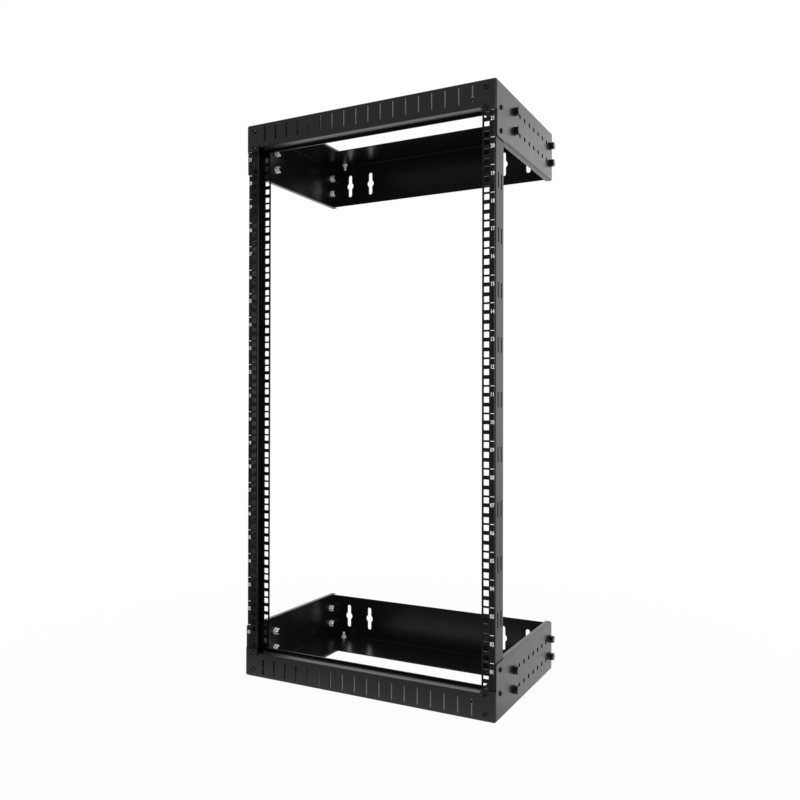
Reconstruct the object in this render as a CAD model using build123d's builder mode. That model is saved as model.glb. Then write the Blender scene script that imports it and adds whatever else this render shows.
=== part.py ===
from build123d import *
import os

# Wall mount open frame rack for 19 inch equipment, in millimetres, set to its shortest depth.
# X runs to the right, Y from the front to the wall and Z up.
# The origin is the middle of the rack's footprint, on the underside of the bottom front frame.

# Spacing up the posts that all 19 inch equipment shares
rack_unit = 44.45
unit_count = 21
first_hole_in_unit = 6.35
hole_step = 15.875

# Overall size
rack_width = 500.0
rack_depth = 302.0
rail_height = 50.8
side_plate_height = 93.0

# Sheet and bends
sheet = 2.0
bend_inside = 2.0
bracket_bend_inside = 1.0

# Front frames: a rail, two side plates and a flat flange folded from one sheet
front_flange_width = 95.0
side_flange_width = 76.0
rail_lip_height = 44.5
rail_lip_depth = 25.0
rail_lip_return = 4.5
rail_lip_post_gap = 4.0
rail_tab_post_gap = 1.0
side_lip_width = 11.0
side_lip_post_gap = 4.0
corner_round = 4.0
rail_slot_side_gap = 40.0
rail_slot_pitch = 24.5
rail_slot_length = 28.0
rail_slot_width = 3.5
rail_slot_middle = 20.7
marker_hole_diameter = 5.5
marker_hole_height = 25.5
depth_hole_pitch = 25.4
depth_hole_first = 88.7
depth_hole_lower_row = 28.0
depth_hole_row_spacing = 33.0

# Posts: C channels with square holes in both flanges, in columns 465.1 mm apart
post_depth = 40.0
post_flange_width = 23.0
hole_from_post_edge = 7.55
post_end_gap = 1.5
square_hole = 9.5
notch_width = 4.6
notch_depth = 2.6
web_slot_length = 25.0
web_slot_width = 4.5
web_slot_spacing = 14.5
web_slot_units = 2
web_slot_end_units = 4

# Wall brackets: a rear panel, two arms and a flat flange folded from one sheet
rear_flange_width = 100.0
arm_front_margin = 22.0
keyhole_from_side = 46.8
keyhole_spacing = 50.8
keyhole_middle = 47.5
keyhole_length = 47.0
keyhole_slot_width = 8.5
keyhole_head_diameter = 15.5

# Depth bolts and flange nuts, size M8
bolt_diameter = 8.0
bolt_hole_gap = 0.5
bolt_flange_diameter = 15.0
bolt_flange_height = 1.4
bolt_hex = 12.0
bolt_hex_height = 6.6
bolt_end_beyond_nut = 2.5
bolt_end_chamfer = 0.8
nut_bore_gap = 0.2
nut_flange_diameter = 14.0
nut_flange_height = 1.5
nut_hex = 12.0
nut_hex_height = 5.4
nut_panel_gap = 0.05
hex_edge_chamfer = 0.5

# Cross head screws, size M5
screw_diameter = 5.0
screw_hole_gap = 0.4
screw_thread_gap = 0.2
screw_head_diameter = 8.6
screw_head_height = 2.6
screw_head_chamfer = 1.0
screw_recess_length = 4.8
screw_recess_width = 1.1
screw_recess_depth = 1.4
screw_end_beyond_sheet = 5.0
side_screw_height = 42.0
side_screw_from_edge = 12.7
side_screw_from_front = 23.0

# Earthing studs, pressed into the left rear corner of each wall bracket
stud_diameter = 5.0
stud_height = 12.0
stud_end_chamfer = 0.6
stud_foot_diameter = 8.0
stud_foot_height = 1.2
stud_from_side = 43.0
stud_from_rear = 18.0
stud_nut_bore_gap = 0.2
stud_nut_flange_diameter = 11.5
stud_nut_flange_height = 1.2
stud_nut_hex = 8.0
stud_nut_hex_height = 3.6

# Planes, heights and depths that follow from the sizes above
bend_outside = bend_inside + sheet
rack_height = unit_count * rack_unit + 2 * rail_height
front = -(rack_depth - screw_head_height) / 2
rear = front + rack_depth
outer_side = rack_width / 2
plate_inside = outer_side - sheet
arm_inside = plate_inside - sheet
flange_edge = outer_side - side_flange_width
post_front = front + sheet
post_rear = post_front + post_depth
post_edge = plate_inside - post_flange_width
post_foot = bend_outside + post_end_gap
hole_column = post_edge + hole_from_post_edge
holes_in_unit = [first_hole_in_unit + step * hole_step for step in range(3)]
bracket_floor = 2 * sheet
bracket_top = side_plate_height - bend_outside
arm_front = front + depth_hole_first - arm_front_margin
bolt_from_rear = sheet + bracket_bend_inside + nut_flange_diameter / 2 + nut_panel_gap
depth_pitches = int((rack_depth - depth_hole_first - bolt_from_rear) / depth_hole_pitch)
arm_bolt_depths = [front + depth_hole_first + pitches * depth_hole_pitch for pitches in (0, depth_pitches)]
bolt_heights = [depth_hole_lower_row, depth_hole_lower_row + depth_hole_row_spacing]
bolt_hole = bolt_diameter + bolt_hole_gap
screw_hole = screw_diameter + screw_hole_gap
tapped_hole = screw_diameter + screw_thread_gap
rail_screw_heights = [rail_height - height for height in holes_in_unit[::2]]
side_screw_heights = [side_screw_height, side_plate_height - side_screw_from_edge]
side_screw_depth = front + side_screw_from_front
keyhole_columns = [outer_side - keyhole_from_side - keyhole_spacing, outer_side - keyhole_from_side]
stud_place = (stud_from_side - outer_side, rear - stud_from_rear)
middle_plane = Plane.XY.offset(rack_height / 2)
side_signs = {"left": -1, "right": 1}


def side_plane(sign, distance):
    """Upright plane that faces out of one side of the rack. Its first axis is sign times Y."""
    return Plane(origin=(sign * distance, 0, 0), x_dir=(0, sign, 0), z_dir=(sign, 0, 0))


def front_plane(distance):
    """Upright plane at a distance along Y that faces the front. Its axes are X and Z."""
    return Plane(origin=(0, distance, 0), x_dir=(1, 0, 0), z_dir=(0, -1, 0))


def rounded_block(half_width, closed_end, open_end, floor, top, radius):
    """Block whose floor, closed end and two sides meet in rounded edges."""
    with BuildPart() as block:
        with BuildSketch(Plane.XY.offset(floor)):
            with Locations((0, (closed_end + open_end) / 2)):
                Rectangle(2 * half_width, abs(open_end - closed_end))
        extrude(amount=top - floor)
        end_faces = block.faces().filter_by(Axis.Y)
        closed_face = end_faces.sort_by(lambda face: abs(face.center().Y - closed_end))[0]
        floor_edges = block.faces().sort_by(Axis.Z)[0].edges()
        cross_edges = floor_edges.filter_by(Axis.X)
        closed_edge = cross_edges.sort_by(lambda edge: abs(edge.center().Y - closed_end))[0]
        upright_edges = closed_face.edges().filter_by(Axis.Z)
        fillet(floor_edges.filter_by(Axis.Y) + upright_edges + [closed_edge], radius)
    return block.part


def folded_tray(half_width, closed_end, open_end, floor, top, inside_radius):
    """Bent sheet with a floor, one end wall and two side walls, open at the other end."""
    inward = 1 if open_end > closed_end else -1
    outside = rounded_block(half_width, closed_end, open_end, floor, top, inside_radius + sheet)
    inside = rounded_block(
        half_width - sheet,
        closed_end + inward * sheet,
        open_end + inward * sheet,
        floor + sheet,
        top + sheet,
        inside_radius,
    )
    with BuildPart() as tray:
        add(outside)
        add(inside, mode=Mode.SUBTRACT)
    return tray.part


def bent_section(plane, outer_corners, radii, side):
    """Section of a bent sheet, from the corners of its outer face and the side its metal lies on."""
    with BuildSketch(plane) as section:
        with BuildLine():
            outer_face = FilletPolyline(*outer_corners, radius=radii)
            offset(outer_face, amount=sheet, side=side)
        make_face()
    return section.sketch


def corner_offcut(y, z, y_inward, z_inward):
    """What lies outside the rounded corner of an upright plate, in the plane of the plate."""
    half = corner_round / 2
    with BuildSketch(Plane.YZ) as offcut:
        with Locations((y + y_inward * half, z + z_inward * half)):
            Rectangle(corner_round, corner_round)
        with Locations((y + y_inward * corner_round, z + z_inward * corner_round)):
            Circle(corner_round, mode=Mode.SUBTRACT)
    return offcut.sketch


def hex_flange_heads(plane, centres, flange_diameter, flange_height, hex_size, hex_height):
    """Round flanges that stand on a plane, each with a hexagon on it."""
    with BuildPart() as heads:
        with BuildSketch(plane):
            with Locations(*centres):
                Circle(flange_diameter / 2)
        extrude(amount=flange_height)
        with BuildSketch(plane.offset(flange_height)):
            with Locations(*centres):
                RegularPolygon(hex_size / 2, 6, major_radius=False)
        extrude(amount=hex_height)
        hexagons = heads.faces().filter_by(lambda face: len(face.edges()) == 6)
        chamfer(hexagons.edges(), hex_edge_chamfer)
    return heads.part


def flange_nuts(plane, centres, bore, flange_diameter, flange_height, hex_size, hex_height):
    """Hexagon nuts with a flange, seated on a plane."""
    bodies = hex_flange_heads(plane, centres, flange_diameter, flange_height, hex_size, hex_height)
    with BuildPart() as nuts:
        add(bodies)
        with BuildSketch(plane):
            with Locations(*centres):
                Circle(bore / 2)
        extrude(amount=flange_height + hex_height, mode=Mode.SUBTRACT)
    return nuts.part


def end_edges(part, plane):
    """Edges of a part that lie furthest behind a plane."""
    return part.edges().group_by(Axis(plane.origin, plane.z_dir))[0]


def flange_bolts(plane, centres, shank_length):
    """Hexagon flange bolts with their heads seated on a plane."""
    heads = hex_flange_heads(
        plane, centres, bolt_flange_diameter, bolt_flange_height, bolt_hex, bolt_hex_height
    )
    with BuildPart() as bolts:
        add(heads)
        with BuildSketch(plane):
            with Locations(*centres):
                Circle(bolt_diameter / 2)
        extrude(amount=-shank_length)
        chamfer(end_edges(bolts, plane), bolt_end_chamfer)
    return bolts.part


def cross_head_screws(plane, centres):
    """Pan head screws with a cross recess, through one sheet and into the next."""
    with BuildPart() as screws:
        with BuildSketch(plane):
            with Locations(*centres):
                Circle(screw_head_diameter / 2)
        extrude(amount=screw_head_height)
        chamfer(screws.edges().group_by(Axis(plane.origin, plane.z_dir))[-1], screw_head_chamfer)
        with BuildSketch(plane.offset(screw_head_height)):
            with Locations(*centres):
                Rectangle(screw_recess_length, screw_recess_width)
                Rectangle(screw_recess_width, screw_recess_length)
        extrude(amount=-screw_recess_depth, mode=Mode.SUBTRACT)
        with BuildSketch(plane):
            with Locations(*centres):
                Circle(screw_diameter / 2)
        extrude(amount=-(2 * sheet + screw_end_beyond_sheet))
    return screws.part


def write_piece(part, name):
    """Name a piece and write its file."""
    part.label = name
    export_step(part, f"parts/{name}.step")


def write_both_levels(bottom_part, name):
    """Write a piece of the bottom level, and its mirror image as the piece at the top."""
    with BuildPart() as top_piece:
        mirror(bottom_part, about=middle_plane)
    write_piece(bottom_part, f"bottom_{name}")
    write_piece(top_piece.part, f"top_{name}")


os.makedirs("parts", exist_ok=True)

# Front frame: the rail with its cable slots, the side plates and the flange
lip_reach = post_edge - rail_lip_post_gap
tab_reach = post_edge - rail_tab_post_gap
side_lip_front = post_rear + side_lip_post_gap
rail_bend_start = rail_lip_height - bend_outside
side_bend_start = side_plate_height - bend_outside
rail_slot_pitches = int((rack_width - 2 * rail_slot_side_gap) / rail_slot_pitch)
last_slot = rail_slot_pitches / 2 * rail_slot_pitch
depth_holes_middle = sum(arm_bolt_depths) / 2
rail_lip_section = bent_section(
    Plane.YZ.offset(-lip_reach),
    [
        (front, rail_bend_start - sheet),
        (front, rail_lip_height),
        (front + rail_lip_depth, rail_lip_height),
        (front + rail_lip_depth, rail_lip_height + rail_lip_return),
    ],
    [bend_outside, bend_inside],
    Side.RIGHT,
)
side_lip_section = bent_section(
    Plane.XZ.offset(-rear),
    [
        (outer_side, side_bend_start - sheet),
        (outer_side, side_plate_height),
        (outer_side - side_lip_width, side_plate_height),
    ],
    [bend_outside],
    Side.LEFT,
)
front_frame_tray = folded_tray(outer_side, front, rear, 0, side_plate_height, bend_inside)
plate_offcuts = [
    corner_offcut(front + bend_outside, side_plate_height, 1, -1),
    corner_offcut(rear, side_plate_height, -1, -1),
]

with BuildPart() as front_frame:
    add(front_frame_tray)

    # The side plates stand higher than the rail and start behind its corner bends
    with BuildSketch(Plane.XY.offset(rail_height)):
        with Locations((0, front + bend_outside / 2)):
            Rectangle(rack_width, bend_outside)
    extrude(amount=side_plate_height - rail_height, mode=Mode.SUBTRACT)

    # Cable opening in the flange, open towards the wall
    with BuildSketch(Plane.XY):
        with Locations((0, (front + front_flange_width + rear) / 2)):
            Rectangle(2 * flange_edge, rack_depth - front_flange_width)
    extrude(amount=sheet, mode=Mode.SUBTRACT)

    # Rail lip between the tabs, folded back and then away from the flange
    with BuildSketch(front_plane(front)):
        with Locations((0, (rail_bend_start + rail_height) / 2)):
            Rectangle(2 * tab_reach, rail_height - rail_bend_start)
    extrude(amount=-sheet, mode=Mode.SUBTRACT)
    extrude(rail_lip_section, amount=2 * lip_reach)

    # Lips along the free edges of the side plates, folded inwards behind the posts
    with BuildSketch(Plane.XY.offset(side_bend_start)):
        with Locations((0, (side_lip_front + rear) / 2)):
            Rectangle(rack_width, rear - side_lip_front)
    extrude(amount=bend_outside, mode=Mode.SUBTRACT)
    side_lip = extrude(side_lip_section, amount=rear - side_lip_front, mode=Mode.PRIVATE)
    add(side_lip)
    mirror(side_lip, about=Plane.YZ)
    for plate_offcut in plate_offcuts:
        extrude(plate_offcut, amount=outer_side, both=True, mode=Mode.SUBTRACT)

    # Cable slots along the rail, with a small round hole on the last one
    with BuildSketch(front_plane(front)):
        with Locations((0, rail_slot_middle)):
            with GridLocations(rail_slot_pitch, 0, rail_slot_pitches + 1, 1):
                Rectangle(rail_slot_width, rail_slot_length)
        with Locations((last_slot, marker_hole_height)):
            Circle(marker_hole_diameter / 2)
    extrude(amount=-sheet, mode=Mode.SUBTRACT)

    # Screw holes to the posts, through the tabs and through the side plates
    with BuildSketch(front_plane(front)):
        with Locations(*[(sign * hole_column, z) for sign in (-1, 1) for z in rail_screw_heights]):
            Circle(screw_hole / 2)
    extrude(amount=-sheet, mode=Mode.SUBTRACT)
    with BuildSketch(Plane.YZ.offset(-outer_side), Plane.YZ.offset(plate_inside)):
        with Locations(*[(side_screw_depth, z) for z in side_screw_heights]):
            Circle(screw_hole / 2)

        # Rows of holes that set the depth
        with Locations((depth_holes_middle, depth_hole_lower_row + depth_hole_row_spacing / 2)):
            with GridLocations(depth_hole_pitch, depth_hole_row_spacing, depth_pitches + 1, 2):
                Circle(bolt_hole / 2)
    extrude(amount=sheet, mode=Mode.SUBTRACT)

write_both_levels(front_frame.part, "front_frame")

# Wall bracket: the rear panel with its keyholes, the arms and the flange
wall_bracket_tray = folded_tray(plate_inside, rear, arm_front, sheet, bracket_top, bracket_bend_inside)
rear_flange_front = rear - rear_flange_width

with BuildPart() as wall_bracket:
    add(wall_bracket_tray)

    # Cable opening in the flange, open towards the front
    with BuildSketch(Plane.XY.offset(sheet)):
        with Locations((0, (arm_front + rear_flange_front) / 2)):
            Rectangle(2 * flange_edge, rear_flange_front - arm_front)
    extrude(amount=sheet, mode=Mode.SUBTRACT)

    # Bolt holes through both arms
    with BuildSketch(Plane.YZ):
        with Locations(*[(y, z) for y in arm_bolt_depths for z in bolt_heights]):
            Circle(bolt_hole / 2)
    extrude(amount=outer_side, both=True, mode=Mode.SUBTRACT)

    # Keyholes that hang on wall screws from either way up
    with BuildSketch(front_plane(rear - sheet)):
        with Locations(*[(sign * x, keyhole_middle) for sign in (-1, 1) for x in keyhole_columns]):
            SlotOverall(keyhole_length, keyhole_slot_width, rotation=90)
            Circle(keyhole_head_diameter / 2)
    extrude(amount=-sheet, mode=Mode.SUBTRACT)

    # Seat of the earthing stud, whose foot is flush under the flange
    with BuildSketch(Plane.XY.offset(sheet)):
        with Locations(stud_place):
            Circle(stud_diameter / 2)
    extrude(amount=sheet, mode=Mode.SUBTRACT)
    with BuildSketch(Plane.XY.offset(sheet)):
        with Locations(stud_place):
            Circle(stud_foot_diameter / 2)
    extrude(amount=stud_foot_height, mode=Mode.SUBTRACT)

write_both_levels(wall_bracket.part, "wall_bracket")

# Posts: channels that open towards the middle of the rack
post_section = bent_section(
    Plane.XY.offset(post_foot),
    [(post_edge, post_front), (plate_inside, post_front), (plate_inside, post_rear), (post_edge, post_rear)],
    [bend_outside, bend_outside],
    Side.LEFT,
)
unit_bottoms = [rail_height + unit * rack_unit for unit in range(unit_count)]
equipment_hole_heights = [bottom + height for bottom in unit_bottoms for height in holes_in_unit]
notch_heights = [bottom + holes_in_unit[1] for bottom in unit_bottoms]
notch_start = hole_column + square_hole / 2
web_slot_rows = (unit_count - web_slot_end_units) // web_slot_units + 1
bottom_side_screws = [(side_screw_depth, z) for z in side_screw_heights]
top_side_screws = [(y, rack_height - z) for y, z in bottom_side_screws]
bottom_rail_screws = [(hole_column, z) for z in rail_screw_heights]
top_rail_screws = [(x, rack_height - z) for x, z in bottom_rail_screws]

with BuildPart() as right_post:
    extrude(post_section, amount=rack_height - 2 * post_foot)

    # Square holes for cage nuts, straight through both flanges
    with BuildSketch(front_plane(post_front)):
        with Locations(*[(hole_column, z) for z in equipment_hole_heights]):
            Rectangle(square_hole, square_hole)
    extrude(amount=-post_depth, mode=Mode.SUBTRACT)

    # Pointed notch on the outer side of the middle hole of each unit, and tapped holes for the rails
    with BuildSketch(front_plane(post_front)):
        with Locations(*[(notch_start, z) for z in notch_heights]):
            with BuildLine():
                Polyline((0, -notch_width / 2), (notch_depth, 0), (0, notch_width / 2), close=True)
            make_face()
        with Locations(*bottom_rail_screws, *top_rail_screws):
            Circle(tapped_hole / 2)
    extrude(amount=-sheet, mode=Mode.SUBTRACT)

    # Pairs of cable tie slots in the web, and tapped holes for the side plates
    with BuildSketch(side_plane(1, plate_inside)):
        with Locations((post_front + post_depth / 2, rack_height / 2)):
            with GridLocations(web_slot_spacing, web_slot_units * rack_unit, 2, web_slot_rows):
                Rectangle(web_slot_width, web_slot_length)
        with Locations(*bottom_side_screws, *top_side_screws):
            Circle(tapped_hole / 2)
    extrude(amount=-sheet, mode=Mode.SUBTRACT)

with BuildPart() as left_post:
    mirror(right_post.part, about=Plane.YZ)

write_piece(right_post.part, "right_post")
write_piece(left_post.part, "left_post")

# Depth bolts through the side plates and the arms, with their nuts on the inside
bolt_length = 2 * sheet + nut_flange_height + nut_hex_height + bolt_end_beyond_nut

for side_name, sign in side_signs.items():
    bolt_centres = [(sign * y, z) for y in arm_bolt_depths for z in bolt_heights]
    nut_centres = [(-y, z) for y, z in bolt_centres]
    depth_bolts = flange_bolts(side_plane(sign, outer_side), bolt_centres, bolt_length)
    depth_nuts = flange_nuts(
        side_plane(-sign, -arm_inside),
        nut_centres,
        bolt_diameter + nut_bore_gap,
        nut_flange_diameter,
        nut_flange_height,
        nut_hex,
        nut_hex_height,
    )
    write_both_levels(depth_bolts, f"{side_name}_depth_bolts")
    write_both_levels(depth_nuts, f"{side_name}_depth_nuts")

# Screws that hold the posts, through the rails and through the side plates
for side_name, sign in side_signs.items():
    rail_screws = cross_head_screws(front_plane(front), [(sign * x, z) for x, z in bottom_rail_screws])
    side_screws = cross_head_screws(side_plane(sign, outer_side), [(sign * y, z) for y, z in bottom_side_screws])
    write_both_levels(rail_screws, f"{side_name}_rail_screws")
    write_both_levels(side_screws, f"{side_name}_side_screws")

# Earthing stud with its flange nut
with BuildPart() as earth_stud:
    with BuildSketch(Plane.XY.offset(sheet)):
        with Locations(stud_place):
            Circle(stud_foot_diameter / 2)
    extrude(amount=stud_foot_height)
    with BuildSketch(Plane.XY.offset(sheet)):
        with Locations(stud_place):
            Circle(stud_diameter / 2)
    extrude(amount=sheet + stud_height)
    chamfer(earth_stud.edges().sort_by(Axis.Z)[-1], stud_end_chamfer)

earth_nut = flange_nuts(
    Plane.XY.offset(bracket_floor),
    [stud_place],
    stud_diameter + stud_nut_bore_gap,
    stud_nut_flange_diameter,
    stud_nut_flange_height,
    stud_nut_hex,
    stud_nut_hex_height,
)
write_both_levels(earth_stud.part, "earth_stud")
write_both_levels(earth_nut, "earth_nut")
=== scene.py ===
import math

import bmesh
import bpy
from mathutils import Matrix, Vector


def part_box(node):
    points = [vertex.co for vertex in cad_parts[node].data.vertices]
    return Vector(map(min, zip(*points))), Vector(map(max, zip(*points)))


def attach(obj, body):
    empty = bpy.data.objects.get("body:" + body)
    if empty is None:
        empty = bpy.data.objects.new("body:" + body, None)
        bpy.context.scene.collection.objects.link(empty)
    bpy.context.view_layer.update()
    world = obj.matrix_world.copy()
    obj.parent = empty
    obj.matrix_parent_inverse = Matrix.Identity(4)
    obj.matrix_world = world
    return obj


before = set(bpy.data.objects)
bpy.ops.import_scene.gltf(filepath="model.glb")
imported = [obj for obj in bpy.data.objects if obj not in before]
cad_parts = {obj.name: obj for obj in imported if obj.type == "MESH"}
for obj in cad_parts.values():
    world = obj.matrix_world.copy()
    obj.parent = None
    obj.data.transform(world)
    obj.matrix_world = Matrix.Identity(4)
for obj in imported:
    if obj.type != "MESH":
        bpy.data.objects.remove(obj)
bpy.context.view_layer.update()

# Front frames.
# The top and bottom frames are each folded from one 2 mm sheet, with a slotted rail, two
# side plates and a flat flange. They are sprayed with black polyester powder and baked.

PATCHES_PER_METRE = 16.0
PEEL_PER_METRE = 330.0
PEEL_HEIGHT = 0.0002
SHEEN_SPREAD = 0.03
PAINTED_SHADE_START_OPENNESS = 0.92
PAINTED_SHADE_FULL_OPENNESS = 0.8
PAINTED_RECESS_SHADE_HEX = "#030303"


def from_hex(code):
    """Linear colour of an sRGB hex value."""
    values = [int(code[start:start + 2], 16) / 255 for start in (1, 3, 5)]
    return [v / 12.92 if v <= 0.04045 else ((v + 0.055) / 1.055) ** 2.4 for v in values] + [1.0]


def add_node(material, kind, settings=None, links=None):
    """Add a node, set its properties or input values, and link its inputs to other outputs."""
    tree = material.node_tree
    node = tree.nodes.new(kind)
    for name, value in (settings or {}).items():
        if name in node.inputs:
            node.inputs[name].default_value = value
        else:
            setattr(node, name, value)
    for name, output in (links or {}).items():
        tree.links.new(output, node.inputs[name])
    return node


def new_material(name):
    """An empty node material, with its Object coordinates."""
    material = bpy.data.materials.new(name)
    material.use_nodes = True
    material.node_tree.nodes.clear()
    return material, add_node(material, "ShaderNodeTexCoord").outputs["Object"]


def mottled_tone(material, first_hex, second_hex, pattern):
    """Two close colours mixed by a pattern."""
    tone = add_node(material, "ShaderNodeMix", {"data_type": "RGBA"}, {"Factor": pattern})
    tone.inputs["A"].default_value = from_hex(first_hex)
    tone.inputs["B"].default_value = from_hex(second_hex)
    return tone.outputs["Result"]


def powder_coat(name, thin_hex, thick_hex, roughness, specular, painted_shade_reach):
    """Baked polyester powder on steel: an even satin black, which mirrors softly at a low angle, with
    painted shade in its hollows.
    """
    material, place = new_material(name)

    # The powder lies a little thicker in patches about 60 mm across
    patches = add_node(
        material,
        "ShaderNodeTexNoise",
        {"Scale": PATCHES_PER_METRE, "Detail": 2.0, "Roughness": 0.5},
        {"Vector": place},
    )
    tone = mottled_tone(material, thin_hex, thick_hex, patches.outputs["Fac"])
    sheen = add_node(
        material,
        "ShaderNodeMapRange",
        {"To Min": roughness - SHEEN_SPREAD, "To Max": roughness + SHEEN_SPREAD},
        {"Value": patches.outputs["Fac"]},
    )

    # Painted shade in hollows: where other surfaces of the same part lie within reach, as on the walls of
    # holes and slots and inside folds, the coat is mixed to near black and made metallic, so it stays
    # black without a sheen
    openness = add_node(
        material,
        "ShaderNodeAmbientOcclusion",
        {"samples": 16, "only_local": True, "Distance": painted_shade_reach},
    )
    painted_recess_shade = add_node(
        material,
        "ShaderNodeMapRange",
        {"From Min": PAINTED_SHADE_START_OPENNESS, "From Max": PAINTED_SHADE_FULL_OPENNESS},
        {"Value": openness.outputs["AO"]},
    )
    tone_with_painted_shade = add_node(
        material, "ShaderNodeMix", {"data_type": "RGBA"}, {"Factor": painted_recess_shade.outputs["Result"]}
    )
    material.node_tree.links.new(tone, tone_with_painted_shade.inputs["A"])
    tone_with_painted_shade.inputs["B"].default_value = from_hex(PAINTED_RECESS_SHADE_HEX)

    # Real orange peel has cells about 1.5 mm wide, drawn here at 3 mm so that it shows
    peel = add_node(
        material, "ShaderNodeTexNoise", {"Scale": PEEL_PER_METRE, "Detail": 1.0}, {"Vector": place}
    )
    bump = add_node(
        material,
        "ShaderNodeBump",
        {"Strength": 0.3, "Distance": PEEL_HEIGHT},
        {"Height": peel.outputs["Fac"]},
    )
    coat = add_node(
        material,
        "ShaderNodeBsdfPrincipled",
        {"IOR": 1.5, "Specular IOR Level": specular},
        {
            "Base Color": tone_with_painted_shade.outputs["Result"],
            "Metallic": painted_recess_shade.outputs["Result"],
            "Roughness": sheen.outputs["Result"],
            "Normal": bump.outputs["Normal"],
        },
    )
    add_node(material, "ShaderNodeOutputMaterial", {}, {"Surface": coat.outputs["BSDF"]})
    return material


def finish_nodes(material, *names):
    """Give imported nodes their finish."""
    for name in names:
        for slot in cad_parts[name].material_slots:
            slot.material = material


# Painted shade reaches 5 mm into the hollows of the frames' coat
frame_coat = powder_coat(
    "satin_powder_coat_frames", "#111112", "#151516", roughness=0.27, specular=0.65, painted_shade_reach=0.005
)
finish_nodes(frame_coat, "bottom_front_frame", "top_front_frame")

# Posts.
# Each post is a C channel of 2 mm steel with square holes for cage nuts punched through
# both flanges, powder coated like the frames. Their coat is set darker and less shiny than the frames' as
# painted shade.

# A darker, less shiny copy of the frames' coat, which paints shade on the posts; painted shade reaches 5
# mm into hollows
post_coat = powder_coat(
    "satin_powder_coat_posts", "#0d0d0e", "#111112", roughness=0.32, specular=0.3, painted_shade_reach=0.005
)
finish_nodes(post_coat, "left_post", "right_post")

# Unit marks.
# White epoxy ink is screen printed on the front flange of both posts: a short line at the
# top of each 44.45 mm unit and the unit's number under it, counted up from the bottom.

UNIT = 0.04445
UNIT_COUNT = 21
FIRST_UNIT = 0.0508
INK_THICKNESS = 0.00006
LINE_LENGTH = 0.0065
LINE_WIDTH = 0.0011
DIGIT_HEIGHT = 0.0064
CAPITAL_SHARE = 0.7
DIGIT_NARROWING = 0.78
STROKE_SWELL = 0.0002
NUMBER_DROP = 0.0141
MARK_FROM_MIDDLE = 0.24295
INK_SPOTS_PER_METRE = 900.0

# Thin epoxy ink is matt, and lets a little of the black show in spots about 1 mm across
screen_ink, ink_place = new_material("white_screen_ink")
ink_wear = add_node(
    screen_ink, "ShaderNodeTexNoise", {"Scale": INK_SPOTS_PER_METRE, "Detail": 2.0}, {"Vector": ink_place}
)
ink_tone = mottled_tone(screen_ink, "#dcdcdc", "#f6f6f6", ink_wear.outputs["Fac"])
ink = add_node(screen_ink, "ShaderNodeBsdfPrincipled", {"Roughness": 0.6}, {"Base Color": ink_tone})
add_node(screen_ink, "ShaderNodeOutputMaterial", {}, {"Surface": ink.outputs["BSDF"]})

ink_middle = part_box("right_post")[0].y - INK_THICKNESS / 2
for side_name, side in (("left", -1), ("right", 1)):
    mark_across = side * MARK_FROM_MIDDLE
    marks = bmesh.new()
    for unit in range(1, UNIT_COUNT + 1):
        top = FIRST_UNIT + unit * UNIT
        line = bmesh.ops.create_cube(marks, size=1)["verts"]
        bmesh.ops.scale(marks, vec=(LINE_LENGTH, INK_THICKNESS, LINE_WIDTH), verts=line)
        bmesh.ops.translate(marks, vec=(mark_across, ink_middle, top), verts=line)

        text = bpy.data.curves.new("unit_number", "FONT")
        text.body = f"{unit:02d}"
        text.align_x = "CENTER"
        text.align_y = "CENTER"
        text.size = DIGIT_HEIGHT / CAPITAL_SHARE
        text.extrude = INK_THICKNESS / 2
        text.offset = STROKE_SWELL
        text.resolution_u = 2
        holder = bpy.data.objects.new("unit_number", text)
        bpy.context.scene.collection.objects.link(holder)
        number = bpy.data.meshes.new_from_object(holder)
        number.transform(Matrix.Diagonal((DIGIT_NARROWING, 1, 1, 1)))
        number.transform(Matrix.Rotation(math.radians(90), 4, "X"))
        number.transform(Matrix.Translation((mark_across, ink_middle, top - NUMBER_DROP)))
        marks.from_mesh(number)
        bpy.data.objects.remove(holder)
        bpy.data.curves.remove(text)
        bpy.data.meshes.remove(number)
    mesh = bpy.data.meshes.new(side_name + "_unit_marks")
    bmesh.ops.recalc_face_normals(marks, faces=marks.faces)
    marks.to_mesh(mesh)
    marks.free()
    mesh.materials.append(screen_ink)
    unit_marks = bpy.data.objects.new(side_name + "_unit_marks", mesh)
    bpy.context.scene.collection.objects.link(unit_marks)
    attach(unit_marks, "root")

# Wall brackets.
# The brackets stand inside the front frames and hang on the wall by their keyholes. Their
# coat is set a little darker and less shiny than the frames' as painted shade, and its painted
# shade in hollows reaches only 0.5 mm, so that the folds along the arms keep a bright line.

bracket_coat = powder_coat(
    "satin_powder_coat_brackets", "#0f0f10", "#131314", roughness=0.26, specular=0.3, painted_shade_reach=0.0005
)
finish_nodes(bracket_coat, "bottom_wall_bracket", "top_wall_bracket")

# Bolts and screws.
# Flange bolts hold the side plates to the brackets and cross head screws hold the posts.
# They are hardened steel with a black oxide skin, which is thin and slightly shiny.

STAINS_PER_METRE = 260.0
DULL_SPREAD = 0.06


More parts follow.
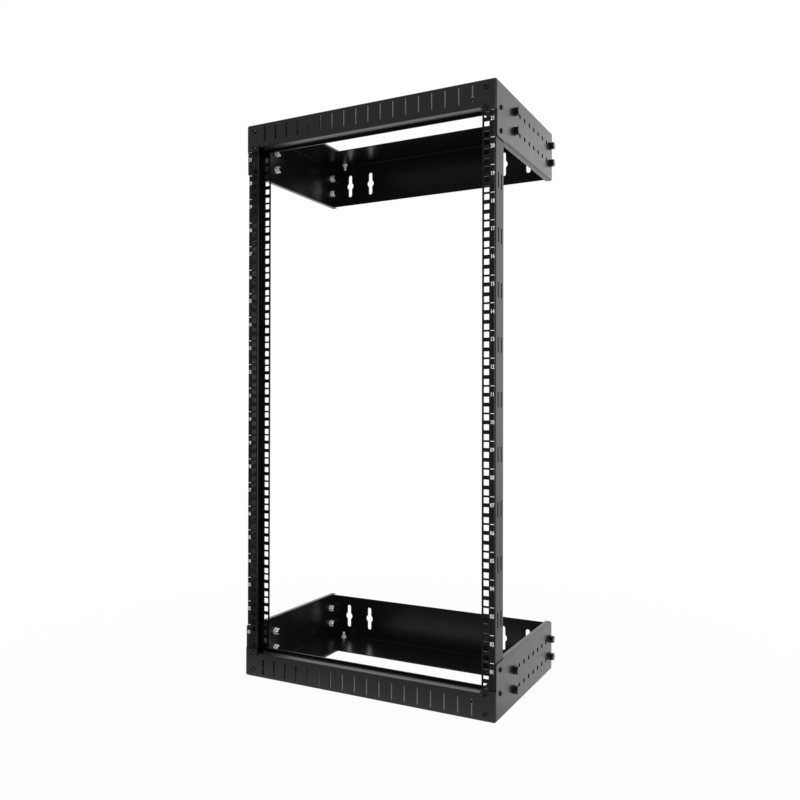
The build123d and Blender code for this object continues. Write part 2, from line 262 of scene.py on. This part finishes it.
def plain_steel(name, dark_hex, light_hex, metallic, roughness, specular):
    """Steel under a thin plating or oxide, with stains about 4 mm across that dull the shine."""
    material, place = new_material(name)
    stains = add_node(
        material, "ShaderNodeTexNoise", {"Scale": STAINS_PER_METRE, "Detail": 3.0}, {"Vector": place}
    )
    tone = mottled_tone(material, dark_hex, light_hex, stains.outputs["Fac"])
    dulling = add_node(
        material,
        "ShaderNodeMapRange",
        {"To Min": roughness - DULL_SPREAD, "To Max": roughness + DULL_SPREAD},
        {"Value": stains.outputs["Fac"]},
    )
    steel = add_node(
        material,
        "ShaderNodeBsdfPrincipled",
        {"Metallic": metallic, "Specular IOR Level": specular},
        {"Base Color": tone, "Roughness": dulling.outputs["Result"]},
    )
    add_node(material, "ShaderNodeOutputMaterial", {}, {"Surface": steel.outputs["BSDF"]})
    return material


black_oxide = plain_steel(
    "black_oxide_steel", "#050505", "#0a0a0a", metallic=0.0, roughness=0.18, specular=0.5
)
for level in ("bottom", "top"):
    for side_name in ("left", "right"):
        finish_nodes(
            black_oxide,
            f"{level}_{side_name}_depth_bolts",
            f"{level}_{side_name}_rail_screws",
            f"{level}_{side_name}_side_screws",
        )

# Nuts and earthing studs.
# Flange nuts close the depth bolts on the inside of the arms, and a smaller one sits on
# the earthing stud of each bracket. All are steel with bright zinc plating, pale and shiny.

bright_zinc = plain_steel(
    "bright_zinc_plate", "#f2f3f4", "#fdfdfe", metallic=0.4, roughness=0.16, specular=0.8
)
for level in ("bottom", "top"):
    finish_nodes(
        bright_zinc,
        f"{level}_left_depth_nuts",
        f"{level}_right_depth_nuts",
        f"{level}_earth_stud",
        f"{level}_earth_nut",
    )

# Threads.
# The ends of the depth bolts and of the earthing studs stand out of their nuts with a rolled
# thread, M8 and M5 with pitches of 1.25 and 0.8 mm. Each turn is drawn as a ring.

BOLT_PITCH = 0.00125
STUD_PITCH = 0.0008
BOLT_RADIUS = 0.004
STUD_RADIUS = 0.0025
BOLT_FLANGE_RADIUS = 0.0075
RIDGE_SIDES = 24
RIDGE_PROFILE = ((-0.45, -0.1), (0.0, 0.25), (0.45, -0.1))
ROUNDING_ROOM = 0.01
MERGE_DISTANCE = 0.000001


def rolled_thread(shape, end, inward, radius, pitch, length):
    """Ridges of a thread, one pitch apart, from the end of a bolt or stud back to its nut."""
    outward = inward.orthogonal().normalized()
    whole_turns = int(length / pitch + ROUNDING_ROOM)
    for turn in range(1, whole_turns + 1):
        corners = [
            shape.verts.new(end + inward * pitch * (turn + along) + outward * (radius + pitch * rise))
            for along, rise in RIDGE_PROFILE
        ]
        sides = [shape.edges.new((corners[place - 1], corners[place])) for place in range(3)]
        bmesh.ops.spin(
            shape,
            geom=corners + sides,
            cent=end,
            axis=inward,
            angle=math.tau,
            steps=RIDGE_SIDES,
            use_merge=True,
        )


def threads_piece(name, shape):
    """Close the rings and make them one zinc plated piece on the rack."""
    bmesh.ops.remove_doubles(shape, verts=shape.verts, dist=MERGE_DISTANCE)
    bmesh.ops.recalc_face_normals(shape, faces=shape.faces)
    mesh = bpy.data.meshes.new(name)
    shape.to_mesh(mesh)
    shape.free()
    mesh.materials.append(bright_zinc)
    piece = bpy.data.objects.new(name, mesh)
    bpy.context.scene.collection.objects.link(piece)
    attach(piece, "root")


bolt_thread = bmesh.new()
stud_thread = bmesh.new()
for level in ("bottom", "top"):
    for side_name, side in (("left", -1), ("right", 1)):
        low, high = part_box(f"{level}_{side_name}_depth_bolts")
        nut_low, nut_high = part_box(f"{level}_{side_name}_depth_nuts")
        end = high.x if side < 0 else low.x
        nut_face = nut_high.x if side < 0 else nut_low.x
        for depth in (low.y + BOLT_FLANGE_RADIUS, high.y - BOLT_FLANGE_RADIUS):
            for height in (low.z + BOLT_FLANGE_RADIUS, high.z - BOLT_FLANGE_RADIUS):
                rolled_thread(
                    bolt_thread,
                    Vector((end, depth, height)),
                    Vector((side, 0, 0)),
                    BOLT_RADIUS,
                    BOLT_PITCH,
                    abs(end - nut_face),
                )
    low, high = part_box(level + "_earth_stud")
    nut_low, nut_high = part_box(level + "_earth_nut")
    upward = 1 if level == "bottom" else -1
    end = high.z if upward > 0 else low.z
    nut_face = nut_high.z if upward > 0 else nut_low.z
    middle = (low + high) / 2
    rolled_thread(
        stud_thread,
        Vector((middle.x, middle.y, end)),
        Vector((0, 0, -upward)),
        STUD_RADIUS,
        STUD_PITCH,
        abs(end - nut_face),
    )
threads_piece("depth_bolt_threads", bolt_thread)
threads_piece("earth_stud_threads", stud_thread)

# Studio.
# A wide pale floor and an even white surround. The half of the studio in front of the rack
# is dimmer than the half behind it, so that satin black shows its folds at a low angle.

FRONT_BRIGHTNESS = 0.32
FLOOR_HALF_SIDE = 30
FLOOR_TURNS_BRIGHT = (-0.25, 0.0)
SURROUND_TURNS_BRIGHT = (-0.25, 0.35)
SHADOW_REACH = (0.4, 1.1)
WHITE_NEAR_RACK = 0.97
FILL_STRENGTH = 0.7


def studio_white(material, depth, dim_until, bright_from):
    """What is seen as white, and its strength: 1 for the camera, less where gloss faces the dim half."""
    tree = material.node_tree
    rays = add_node(material, "ShaderNodeLightPath")
    mirrored = add_node(material, "ShaderNodeMath", {"operation": "MAXIMUM"})
    tree.links.new(rays.outputs["Is Glossy Ray"], mirrored.inputs[0])
    tree.links.new(rays.outputs["Is Transmission Ray"], mirrored.inputs[1])
    seen = add_node(material, "ShaderNodeMath", {"operation": "MAXIMUM"})
    tree.links.new(rays.outputs["Is Camera Ray"], seen.inputs[0])
    tree.links.new(mirrored.outputs[0], seen.inputs[1])
    half = add_node(
        material,
        "ShaderNodeMapRange",
        {"From Min": dim_until, "From Max": bright_from, "To Min": FRONT_BRIGHTNESS, "To Max": 1.0},
        {"Value": depth},
    )
    brightness = add_node(material, "ShaderNodeMath", {"operation": "MAXIMUM"})
    tree.links.new(rays.outputs["Is Camera Ray"], brightness.inputs[0])
    tree.links.new(half.outputs["Result"], brightness.inputs[1])
    return seen.outputs[0], brightness.outputs[0]


floor_mesh = bpy.data.meshes.new("studio_floor")
floor_shape = bmesh.new()
bmesh.ops.create_grid(floor_shape, x_segments=1, y_segments=1, size=FLOOR_HALF_SIDE)
floor_shape.to_mesh(floor_mesh)
floor_shape.free()
floor = bpy.data.objects.new("studio_floor", floor_mesh)
bpy.context.scene.collection.objects.link(floor)

floor_paint, floor_place = new_material("pale_floor")
floor_depth = add_node(floor_paint, "ShaderNodeSeparateXYZ", {}, {"Vector": floor_place})
floor_seen, floor_brightness = studio_white(floor_paint, floor_depth.outputs["Y"], *FLOOR_TURNS_BRIGHT)

# Near the rack a little of the floor's own paint shows, and with it the rack's shadow
floor_reach = add_node(
    floor_paint, "ShaderNodeVectorMath", {"operation": "LENGTH"}, {"Vector": floor_place}
)
floor_white_share = add_node(
    floor_paint,
    "ShaderNodeMapRange",
    {"From Min": SHADOW_REACH[0], "From Max": SHADOW_REACH[1], "To Min": WHITE_NEAR_RACK, "To Max": 1.0},
    {"Value": floor_reach.outputs["Value"]},
)
floor_share = add_node(floor_paint, "ShaderNodeMath", {"operation": "MULTIPLY"})
floor_paint.node_tree.links.new(floor_seen, floor_share.inputs[0])
floor_paint.node_tree.links.new(floor_white_share.outputs["Result"], floor_share.inputs[1])
floor_matt = add_node(floor_paint, "ShaderNodeBsdfDiffuse", {"Color": from_hex("#e8e8e8")})
floor_white = add_node(
    floor_paint, "ShaderNodeEmission", {"Color": from_hex("#ffffff")}, {"Strength": floor_brightness}
)
floor_mix = add_node(floor_paint, "ShaderNodeMixShader", {}, {"Fac": floor_share.outputs[0]})
floor_paint.node_tree.links.new(floor_matt.outputs[0], floor_mix.inputs[1])
floor_paint.node_tree.links.new(floor_white.outputs[0], floor_mix.inputs[2])
add_node(floor_paint, "ShaderNodeOutputMaterial", {}, {"Surface": floor_mix.outputs[0]})
floor_mesh.materials.append(floor_paint)

surround = bpy.data.worlds.new("studio_surround")
surround.use_nodes = True
surround.node_tree.nodes.clear()
outward = add_node(surround, "ShaderNodeTexCoord").outputs["Generated"]
outward_depth = add_node(surround, "ShaderNodeSeparateXYZ", {}, {"Vector": outward})
surround_seen, surround_brightness = studio_white(
    surround, outward_depth.outputs["Y"], *SURROUND_TURNS_BRIGHT
)
soft_fill = add_node(
    surround, "ShaderNodeBackground", {"Color": from_hex("#ffffff"), "Strength": FILL_STRENGTH}
)
white_view = add_node(
    surround, "ShaderNodeBackground", {"Color": from_hex("#ffffff")}, {"Strength": surround_brightness}
)
world_mix = add_node(surround, "ShaderNodeMixShader", {}, {"Fac": surround_seen})
surround.node_tree.links.new(soft_fill.outputs[0], world_mix.inputs[1])
surround.node_tree.links.new(white_view.outputs[0], world_mix.inputs[2])
add_node(surround, "ShaderNodeOutputWorld", {}, {"Surface": world_mix.outputs[0]})
bpy.context.scene.world = surround


def soft_lamp(name, place, aim, width, height, watts):
    """Rectangular soft box that points at a place."""
    light = bpy.data.lights.new(name, "AREA")
    light.shape = "RECTANGLE"
    light.size = width
    light.size_y = height
    light.energy = watts
    lamp = bpy.data.objects.new(name, light)
    lamp.location = place
    lamp.rotation_euler = (Vector(aim) - Vector(place)).to_track_quat("-Z", "Y").to_euler()
    lamp.visible_camera = False
    bpy.context.scene.collection.objects.link(lamp)


# The wide lamp gives the side plates a sheen, and the strip lights the posts and screw heads
soft_lamp("rear_right_softbox", (1.9, 2.3, 1.0), (0.2, 0.0, 0.6), width=2.4, height=1.9, watts=8)
soft_lamp("front_right_strip", (2.0, -1.9, 0.82), (0.0, 0.0, 0.5), width=0.5, height=1.6, watts=24)

# Camera.
# It stands to the right of the rack's front, about 1.4 m away and level with the middle of
# the posts, as fitted to the photograph.

CAMERA_PLACE = (0.706241, -1.357118, 0.509181)
CAMERA_HEADING = 27.522
CAMERA_RISE = 90.334
CAMERA_ROLL = 0.124
CAMERA_LENS = 36.11
VIEW_DISTANCE = 200

camera_data = bpy.data.cameras.new("camera")
camera_data.sensor_width = 36
camera_data.lens = CAMERA_LENS
camera_data.clip_end = VIEW_DISTANCE
camera = bpy.data.objects.new("camera", camera_data)
turn = (
    Matrix.Rotation(math.radians(CAMERA_HEADING), 4, "Z")
    @ Matrix.Rotation(math.radians(CAMERA_RISE), 4, "X")
    @ Matrix.Rotation(math.radians(CAMERA_ROLL), 4, "Z")
)
camera.matrix_world = Matrix.Translation(CAMERA_PLACE) @ turn
bpy.context.scene.collection.objects.link(camera)
bpy.context.scene.camera = camera

bpy.context.scene.view_settings.view_transform = "Standard"
